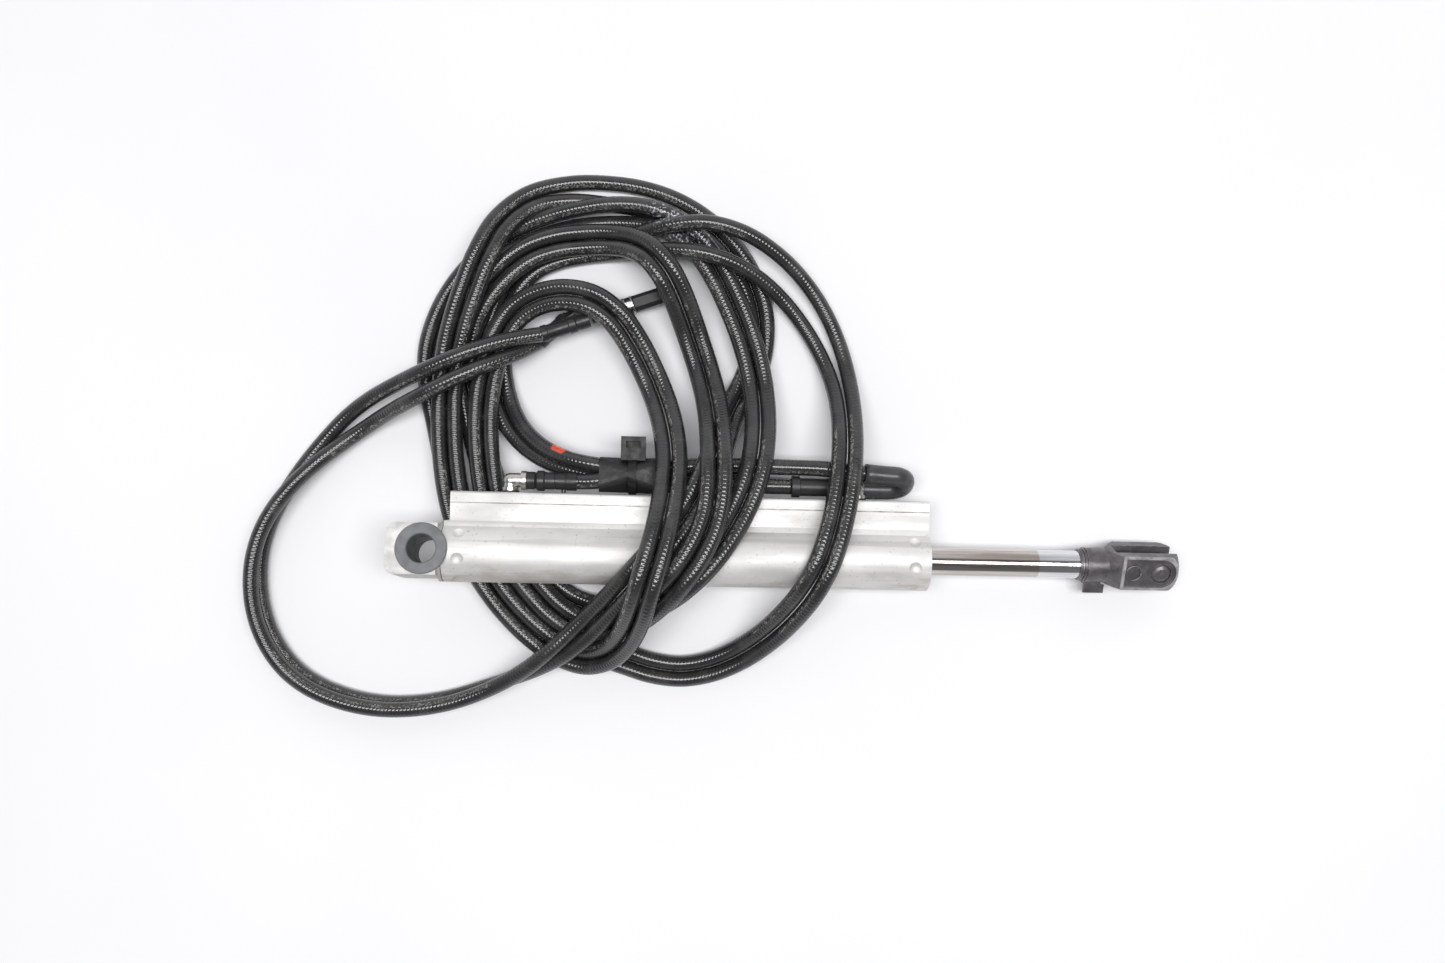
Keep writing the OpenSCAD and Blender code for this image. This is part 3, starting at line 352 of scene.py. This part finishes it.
# ---------------------------------------------------------------- materials
class Look:
    """A material: a Principled shader and short ways to add the nodes that feed it."""

    def __init__(self, name, colour, roughness, metallic=0.0, specular=0.5):
        self.material = bpy.data.materials.new(name)
        self.material.use_nodes = True
        self.nodes = self.material.node_tree.nodes
        self.links = self.material.node_tree.links
        self.shader = self.nodes["Principled BSDF"]
        self.shader.inputs["Base Color"].default_value = (*colour, 1)
        self.shader.inputs["Roughness"].default_value = roughness
        self.shader.inputs["Metallic"].default_value = metallic
        self.shader.inputs["Specular IOR Level"].default_value = specular

    def add(self, kind, inputs=None, **settings):
        """A node: each input takes a number, a vector or another node's output."""
        node = self.nodes.new(kind)
        for key, value in settings.items():
            setattr(node, key, value)
        for key, value in (inputs or {}).items():
            if isinstance(value, bpy.types.NodeSocket):
                self.links.new(value, node.inputs[key])
            else:
                node.inputs[key].default_value = value
        return node

    def math(self, operation, a, b=0.0):
        return self.add("ShaderNodeMath", {0: a, 1: b}, operation=operation).outputs[0]

    def times(self, a, b):
        return self.math("MULTIPLY", a, b)

    def dot(self, a, b):
        return self.add("ShaderNodeVectorMath", {0: a, 1: b}, operation="DOT_PRODUCT").outputs["Value"]

    def place(self, scale=(1, 1, 1)):
        """The place in the part's frame in metres, stretched by scale."""
        source = self.add("ShaderNodeTexCoord").outputs["Object"]
        return self.add("ShaderNodeMapping", {"Vector": source, "Scale": scale}).outputs[0]

    def axis(self, name):
        return self.add("ShaderNodeSeparateXYZ", {0: self.place()}).outputs[name]

    def noise(self, scale, detail=3.0, stretch=(1, 1, 1), roughness=0.5):
        inputs = {"Vector": self.place(stretch), "Scale": scale, "Detail": detail, "Roughness": roughness}
        return self.add("ShaderNodeTexNoise", inputs).outputs["Fac"]

    def ramp(self, value, low, high, to_low=0.0, to_high=1.0):
        """A smooth step from to_low to to_high while the value goes from low to high."""
        inputs = {"Value": value, 1: low, 2: high, 3: to_low, 4: to_high}
        return self.add("ShaderNodeMapRange", inputs, interpolation_type="SMOOTHSTEP").outputs[0]

    def mix(self, factor, a, b):
        """Colour a where the factor is 0 and b where it is 1."""
        node = self.add("ShaderNodeMix", data_type="RGBA")
        for socket, value in (("Factor_Float", factor), ("A_Color", a), ("B_Color", b)):
            target = next(s for s in node.inputs if s.identifier == socket)
            if isinstance(value, bpy.types.NodeSocket):
                self.links.new(value, target)
            else:
                target.default_value = (*value, 1)
        return next(s for s in node.outputs if s.identifier == "Result_Color")

    def colour(self, socket):
        self.links.new(socket, self.shader.inputs["Base Color"])

    def roughness(self, socket):
        self.links.new(socket, self.shader.inputs["Roughness"])

    def source(self, name):
        """What feeds this input of the shader, or None."""
        socket = self.shader.inputs[name]
        return next((link.from_socket for link in self.links if link.to_socket == socket), None)

    def bump(self, height, distance):
        """Adds a bump over any bump already there. distance is in metres."""
        node = self.add("ShaderNodeBump", {"Height": height, "Distance": distance})
        below = self.source("Normal")
        if below is not None:
            self.links.new(below, node.inputs["Normal"])
        self.links.new(node.outputs[0], self.shader.inputs["Normal"])

    def near(self, points, radius, soft):
        """1 close to any of these places in the part's frame, 0 away from them."""
        spot = None
        for point in points:
            gap = self.add("ShaderNodeVectorMath", {0: self.place(), 1: tuple(point)}, operation="DISTANCE")
            here = self.ramp(gap.outputs["Value"], radius - soft, radius, 1.0, 0.0)
            spot = here if spot is None else self.math("MAXIMUM", spot, here)
        return spot

    def line(self, axis, at, core, edge):
        """1 within core of a plane across the axis, 0 further from it than edge."""
        away = self.math("ABSOLUTE", self.math("SUBTRACT", self.axis(axis), at))
        return self.ramp(away, core, edge, 1.0, 0.0)

    def edges(self, tint, amount, radius):
        """Lighter edges, found with a bevelled normal: partly worn metal and partly a painted highlight on
        the rounded edges.
        """
        bevel = self.add("ShaderNodeBevel", {"Radius": radius}, samples=4).outputs[0]
        normal = self.add("ShaderNodeNewGeometry").outputs["Normal"]
        worn = self.times(self.ramp(self.dot(bevel, normal), 0.8, 0.98, 1.0, 0.0), amount)
        worn = self.times(worn, self.ramp(self.noise(900), 0.35, 0.6))
        self.colour(self.mix(worn, self.source("Base Color"), tint))


def shaded(colour, share):
    return tuple(c * share for c in colour)


def extrusion_look():
    """Satin aluminium with drawing lines along the barrel, grey handling marks and brown stains low down."""
    pale = (0.80, 0.79, 0.775)
    grey = (0.66, 0.65, 0.64)
    line_grey = (0.52, 0.51, 0.50)
    speck_grey = (0.42, 0.41, 0.40)
    stain_brown = (0.42, 0.34, 0.25)
    cap_grey = (0.50, 0.485, 0.47)
    dirt_brown = (0.20, 0.17, 0.14)
    seam_x = 0.00513
    rail_line_y = 0.01405
    stains_from_y = -0.001
    stains_full_y = -0.0055
    dirt_core = 0.0001
    dirt_edge = 0.0002

    look = Look("extruded_aluminium", pale, 0.65, metallic=0.6)
    clouds = look.noise(70, detail=4, stretch=(0.45, 1, 1), roughness=0.6)
    lines = look.noise(500, detail=2, stretch=(0.03, 1, 1))
    specks = look.noise(1100)
    tone = look.mix(look.ramp(clouds, 0.35, 0.68), pale, grey)
    tone = look.mix(look.times(look.ramp(lines, 0.5, 0.66), 0.5), tone, line_grey)
    tone = look.mix(look.times(look.ramp(specks, 0.62, 0.72), 0.5), tone, speck_grey)
    # Brown stains gather below the barrel's middle
    low = look.ramp(look.axis("Y"), stains_full_y, stains_from_y, 1.0, 0.0)
    stain = look.ramp(look.noise(120, detail=5, stretch=(0.4, 1, 1), roughness=0.65), 0.47, 0.66)
    tone = look.mix(look.times(look.times(stain, low), 0.45), tone, stain_brown)
    # The cast end cap is greyer than the extruded barrel
    cap = look.ramp(look.axis("X"), seam_x - 0.0001, seam_x, 1.0, 0.0)
    cap_clouds = look.ramp(look.noise(240, detail=5, roughness=0.65), 0.35, 0.65, 0.35, 0.9)
    tone = look.mix(look.times(cap, cap_clouds), tone, cap_grey)
    # Dirt in the line along the rail and in the seam at the end cap
    rail_dirt = look.line("Y", rail_line_y, dirt_core, dirt_edge)
    seam_dirt = look.line("X", seam_x, dirt_core, dirt_edge)
    patchy = look.ramp(look.noise(300), 0.3, 0.6, 0.35, 0.8)
    tone = look.mix(look.times(look.math("MAXIMUM", rail_dirt, seam_dirt), patchy), tone, dirt_brown)
    look.colour(tone)
    look.roughness(look.ramp(look.noise(180, detail=4, stretch=(0.3, 1, 1)), 0.3, 0.75, 0.55, 0.75))
    look.bump(look.noise(2600, detail=2, stretch=(0.04, 1, 1)), 0.000006)
    look.bump(specks, 0.00001)
    return look


def steel_look(name, colour, roughness, grain=1500):
    """Bare or plated metal with fine grain and faint blotches."""
    look = Look(name, colour, roughness, metallic=1.0)
    blotches = look.ramp(look.noise(260, detail=4), 0.38, 0.72)
    look.colour(look.mix(blotches, colour, shaded(colour, 0.72)))
    look.roughness(look.ramp(look.noise(grain), 0.3, 0.7, roughness * 0.8, roughness * 1.35))
    look.bump(look.noise(grain, detail=2), 0.000006)
    return look


def chrome_look():
    """Chromed rod: brown-grey oily film near the barrel and a cleaner, brighter end near the clevis."""
    film_colours = ((0.66, 0.62, 0.59), (0.42, 0.36, 0.33))
    clean_colours = ((0.80, 0.80, 0.82), (0.60, 0.60, 0.63))
    film_ends_x = 0.174

    look = Look("chromed_rod", clean_colours[0], 0.12, metallic=1.0)
    film = look.ramp(look.axis("X"), film_ends_x, film_ends_x + 0.0006, 1.0, 0.0)
    streaks = look.noise(420, detail=4, stretch=(0.05, 1, 1), roughness=0.6)
    brown = look.mix(look.ramp(streaks, 0.36, 0.64), *film_colours)
    clean = look.mix(look.ramp(streaks, 0.4, 0.66), *clean_colours)
    look.colour(look.mix(film, clean, brown))
    look.roughness(look.ramp(look.noise(900, stretch=(0.1, 1, 1)), 0.3, 0.75, 0.08, 0.16))
    return look


# The clevis is turned about the rod, and this is the way its ears face
CLEVIS_CLOCK = math.radians(19)
EAR_AXIS = Vector((0, -math.sin(CLEVIS_CLOCK), math.cos(CLEVIS_CLOCK)))


def dark_steel_look(name, rim_highlights=False):
    """Dark phosphated casting with a fine grain, lighter edges (partly rubbed, partly a painted highlight)
    and, for the clevis, a painted highlight on the ear rims.
    """
    dark = (0.12, 0.11, 0.12)
    light = (0.20, 0.185, 0.195)
    rim_highlight_colour = (0.62, 0.59, 0.60)
    edge_wear_and_highlight = (0.5, 0.47, 0.48)
    rims_from_x = 0.1978
    rims_from_height = 0.00572

    look = Look(name, dark, 0.36, metallic=0.6)
    tone = look.mix(look.ramp(look.noise(240, detail=5, roughness=0.6), 0.38, 0.7), dark, light)
    if rim_highlights:
        # Painted highlight: the ear rims are lightened where their rounded edges catch the softbox
        height = look.math("ABSOLUTE", look.dot(look.place(), tuple(EAR_AXIS)))
        rim = look.ramp(height, rims_from_height, rims_from_height + 0.0002)
        rim = look.times(rim, look.ramp(look.axis("X"), rims_from_x - 0.0003, rims_from_x))
        rim_highlight_mask = look.times(rim, look.ramp(look.noise(600), 0.35, 0.6, 0.5, 0.95))
        tone = look.mix(rim_highlight_mask, tone, rim_highlight_colour)
    look.colour(tone)
    look.roughness(look.ramp(look.noise(520, detail=4), 0.3, 0.7, 0.32, 0.5))
    look.bump(look.noise(1300), 0.00003)
    look.bump(look.noise(330), 0.00004)
    # Lighter edges: partly wear, partly a painted highlight
    look.edges(edge_wear_and_highlight, 0.8, 0.0003)
    return look


def plain_look(name, colour, roughness, grain=900, depth=0.00002, specular=0.5, shade=0.6, metallic=0.0):
    """Moulded plastic, rubber or blackened metal: two close shades, uneven gloss and a fine grain."""
    look = Look(name, colour, roughness, specular=specular, metallic=metallic)
    patches = look.ramp(look.noise(200, detail=5, roughness=0.6), 0.36, 0.7)
    look.colour(look.mix(patches, colour, shaded(colour, shade)))
    look.roughness(look.ramp(look.noise(400, detail=4), 0.3, 0.7, roughness * 0.85, roughness * 1.2))
    look.bump(look.noise(grain), depth)
    return look


def bush_look():
    """Grey filled plastic with a fine speckle."""
    look = plain_look("bush_plastic", (0.17, 0.175, 0.185), 0.55, 1800, shade=0.82)
    look.bump(look.noise(5000, detail=2), 0.00001)
    return look


def hose_look():
    """Glossy black hose over braid: the cover shows the braid as fine crossed ribs.

    It carries unlettered print dashes in runs near its top, one paint mark and some chalky scuffs."""
    clean_black = (0.021, 0.021, 0.022)
    grimy_black = (0.042, 0.041, 0.041)
    print_grey = (0.30, 0.29, 0.27)
    paint_red = (0.75, 0.07, 0.02)
    scuff_grey = (0.42, 0.45, 0.50)
    rib_pitch = 0.0011
    ribs_round = 4
    rib_depth = 0.00006
    # The print is made of small cells, in a band round the hose and in runs with gaps along it
    cell_length = 0.00042
    cells_round = 60
    blank_cells = 0.6
    band_at = 0.4
    band_inner = 0.034
    band_outer = 0.040
    run_length = 0.14
    printed_share = 0.52
    # Places on the table, in metres
    paint_places = ((0.0366, 0.0302, 0.0134), (0.0376, 0.0298, 0.0139), (0.0386, 0.0294, 0.0144))
    scuff_places = ((0.070, 0.0965, 0.008), (0.0755, 0.0945, 0.008), (0.066, 0.099, 0.008))

    look = Look("hose_cover", clean_black, 0.26, specular=0.8)
    coordinates = look.add("ShaderNodeUVMap", uv_map="UVMap").outputs[0]
    split = look.add("ShaderNodeSeparateXYZ", {0: coordinates})
    along = split.outputs["X"]
    around = split.outputs["Y"]
    turns = look.times(along, math.pi / rib_pitch)
    twist = look.times(around, math.pi * ribs_round)
    one_way = look.math("ABSOLUTE", look.math("SINE", look.math("ADD", turns, twist)))
    other_way = look.math("ABSOLUTE", look.math("SINE", look.math("SUBTRACT", turns, twist)))
    look.bump(look.times(one_way, other_way), rib_depth)
    grime = look.ramp(look.noise(160, detail=5, roughness=0.65), 0.42, 0.72)
    tone = look.mix(grime, clean_black, grimy_black)

    column = look.math("FLOOR", look.math("DIVIDE", along, cell_length))
    row = look.math("FLOOR", look.times(around, cells_round))
    cell = look.add("ShaderNodeCombineXYZ", {0: column, 1: row}).outputs[0]
    chance = look.add("ShaderNodeTexWhiteNoise", {0: cell}, noise_dimensions="3D").outputs["Value"]
    off_band = look.math("ABSOLUTE", look.math("SUBTRACT", around, band_at))
    band = look.ramp(off_band, band_inner, band_outer, 1.0, 0.0)
    place_in_run = look.math("FRACT", look.math("DIVIDE", along, run_length))
    run = look.ramp(place_in_run, printed_share - 0.01, printed_share, 1.0, 0.0)
    mark = look.times(look.math("GREATER_THAN", chance, blank_cells), look.times(band, run))
    worn = look.ramp(look.noise(700), 0.4, 0.6, 0.15, 0.7)
    tone = look.mix(look.times(mark, worn), tone, print_grey)

    paint = look.near([from_table(p) for p in paint_places], 0.0014, 0.0004)
    paint = look.times(paint, look.ramp(look.noise(900), 0.36, 0.44))
    tone = look.mix(paint, tone, paint_red)
    scuff = look.near([from_table(p) for p in scuff_places], 0.0065, 0.004)
    scuff = look.times(scuff, look.ramp(look.noise(1100, detail=4), 0.55, 0.62))
    look.colour(look.mix(scuff, tone, scuff_grey))
    look.roughness(look.math("ADD", look.times(grime, 0.14), 0.17))
    return look


looks = {
    "extrusion": extrusion_look(),
    "inner_aluminium": steel_look("machined_aluminium", (0.66, 0.66, 0.65), 0.3),
    "bush": bush_look(),
    "seal_rubber": plain_look("seal_rubber", (0.022, 0.022, 0.024), 0.5),
    "rod_seal": plain_look("rod_seal_rubber", (0.05, 0.12, 0.24), 0.4),
    "guide_ring": plain_look("guide_ring_plastic", (0.05, 0.17, 0.12), 0.5),
    "spring_steel": steel_look("spring_steel", (0.55, 0.55, 0.56), 0.26),
    "steel_nut": steel_look("zinc_steel", (0.45, 0.45, 0.46), 0.32),
    "chrome_rod": chrome_look(),
    "dark_steel": dark_steel_look("dark_steel"),
    "elbow_zinc": steel_look("bright_zinc", (0.66, 0.65, 0.61), 0.28, grain=1100),
    "black_fitting": plain_look("black_zinc", (0.045, 0.044, 0.046), 0.34, 1500, 0.00003, metallic=0.4),
    "bend_plastic": plain_look("bend_coating", (0.06, 0.058, 0.061), 0.3, 700),
    "sleeve": plain_look("shrunk_sleeve", (0.016, 0.016, 0.017), 0.5, 800, 0.00012),
    "tie_nylon": plain_look("tie_nylon", (0.014, 0.014, 0.015), 0.45, 1200, specular=0.3),
    "hose_cover": hose_look(),
}

bend = tube(
    "return_bend_pipe", smooth(bend_line, BEND_RINGS), BEND_R, "barrel",
    sides=BEND_SIDES, up=lean((0, -bend_out.z, bend_out.y)),
)
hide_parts("return_bend")

# A plain raised ring stands in the clevis's upper ear pocket: its place along X and along EAR_AXIS
EMBLEM_AT = (0.2011, 0.0057)
EMBLEM_R = 0.0022
EMBLEM_WIRE_R = 0.0003
X_AXIS = Vector((1, 0, 0))

emblem_middle = EMBLEM_AT[0] * X_AXIS + EMBLEM_AT[1] * EAR_AXIS
emblem_side = EAR_AXIS.cross(X_AXIS)
emblem_line = []
for a in range(0, 361, 15):
    turn = math.radians(a)
    outward = math.cos(turn) * X_AXIS + math.sin(turn) * emblem_side
    emblem_line.append(emblem_middle + EMBLEM_R * outward)
emblem = tube("clevis_emblem", emblem_line, EMBLEM_WIRE_R, "rod", sides=8, up=EAR_AXIS)

# ---------------------------------------------------------------- CAD nodes: bevels and materials
BEVELS = {
    "end_cap": 0.0004,
    "barrel": 0.0002,
    "clevis": 0.00035,
    "pin_clip": 0.00018,
    "clevis_pin": 0.00012,
    "cable_tie": 0.0003,
    "connector_a": 0.0002,
    "connector_b": 0.0002,
}
SMOOTH_ANGLE = math.radians(32)


def give(piece, look):
    piece.data.materials.clear()
    piece.data.materials.append(look.material)


slot_of = {part["node"]: part["material_slot"] for part in frame["record"]["subparts"]}
for name, node in NODES.items():
    give(node, looks[slot_of[name]])
    if name in BEVELS:
        bevel = node.modifiers.new("bevel", "BEVEL")
        bevel.width = BEVELS[name]
        bevel.segments = 2
        bevel.limit_method = "ANGLE"
        bevel.angle_limit = SMOOTH_ANGLE
        bevel.harden_normals = True
for hose in hoses.values():
    give(hose, looks["hose_cover"])
give(bend, looks["bend_plastic"])
give(emblem, looks["dark_steel"])
give(NODES["clevis"], dark_steel_look("clevis_steel", rim_highlights=True))


# ---------------------------------------------------------------- table
TABLE_SIZE = 12.0
TABLE_WHITE = (0.86, 0.86, 0.88)
TABLE_WHITER = (0.89, 0.89, 0.90)

table_mesh = bpy.data.meshes.new("table")
half = TABLE_SIZE / 2
corners = [from_table((u, v, 0)) for u, v in ((-half, -half), (half, -half), (half, half), (-half, half))]
table_mesh.from_pydata([tuple(c) for c in corners], [], [(0, 1, 2, 3)])
table = bpy.data.objects.new("table", table_mesh)
bpy.context.collection.objects.link(table)
table_look = Look("table_white", TABLE_WHITE, 0.6, specular=0.2)
clouds = table_look.ramp(table_look.noise(6), 0.3, 0.7)
table_look.colour(table_look.mix(clouds, TABLE_WHITE, TABLE_WHITER))
give(table, table_look)

# ---------------------------------------------------------------- light and tone
# The room: pale near the horizon all round, light above the rail's side, dark above the other side
WORLD_COLOUR = (0.97, 0.98, 1, 1)
WORLD_HORIZON = 0.9
WORLD_RAIL_SIDE = 0.72
WORLD_DARK_SIDE = 0.17
# How far a direction points along Y where dark turns to light, and along Z where the pale horizon ends
LIGHT_SIDE = (0.4, 0.62)
HORIZON_END = (0.15, 0.4)

world = bpy.data.worlds.new("world")
world.use_nodes = True
bpy.context.scene.world = world
sky = world.node_tree.nodes
wires = world.node_tree.links


def sky_range(value, low, high, to_low, to_high):
    """A smooth step of the world's strength. The two results are numbers or outputs of other nodes."""
    node = sky.new("ShaderNodeMapRange")
    node.interpolation_type = "SMOOTHSTEP"
    wires.new(value, node.inputs["Value"])
    for key, number in ((1, low), (2, high), (3, to_low), (4, to_high)):
        if isinstance(number, bpy.types.NodeSocket):
            wires.new(number, node.inputs[key])
        else:
            node.inputs[key].default_value = number
    return node.outputs[0]


direction = sky.new("ShaderNodeSeparateXYZ")
wires.new(sky.new("ShaderNodeTexCoord").outputs["Generated"], direction.inputs[0])
overhead = sky_range(direction.outputs["Y"], *LIGHT_SIDE, WORLD_DARK_SIDE, WORLD_RAIL_SIDE)
strength = sky_range(direction.outputs["Z"], *HORIZON_END, WORLD_HORIZON, overhead)
wires.new(strength, sky["Background"].inputs["Strength"])
sky["Background"].inputs["Color"].default_value = WORLD_COLOUR

# One long softbox straight overhead, its long side along the actuator
SOFTBOX_AT = (0.15, 0.03, 1.2)
SOFTBOX_SIZE = (1.3, 0.36)
SOFTBOX_POWER = 14.5

softbox = bpy.data.lights.new("softbox", "AREA")
softbox.shape = "RECTANGLE"
softbox.size = SOFTBOX_SIZE[0]
softbox.size_y = SOFTBOX_SIZE[1]
softbox.energy = SOFTBOX_POWER
lamp = bpy.data.objects.new("softbox", softbox)
bpy.context.collection.objects.link(lamp)
table_axes = Matrix((lean((1, 0, 0)), lean((0, 1, 0)), UP)).transposed().to_4x4()
lamp.matrix_world = Matrix.Translation(from_table(SOFTBOX_AT)) @ table_axes

view = bpy.context.scene.view_settings
view.view_transform = "Standard"
view.exposure = 0.0
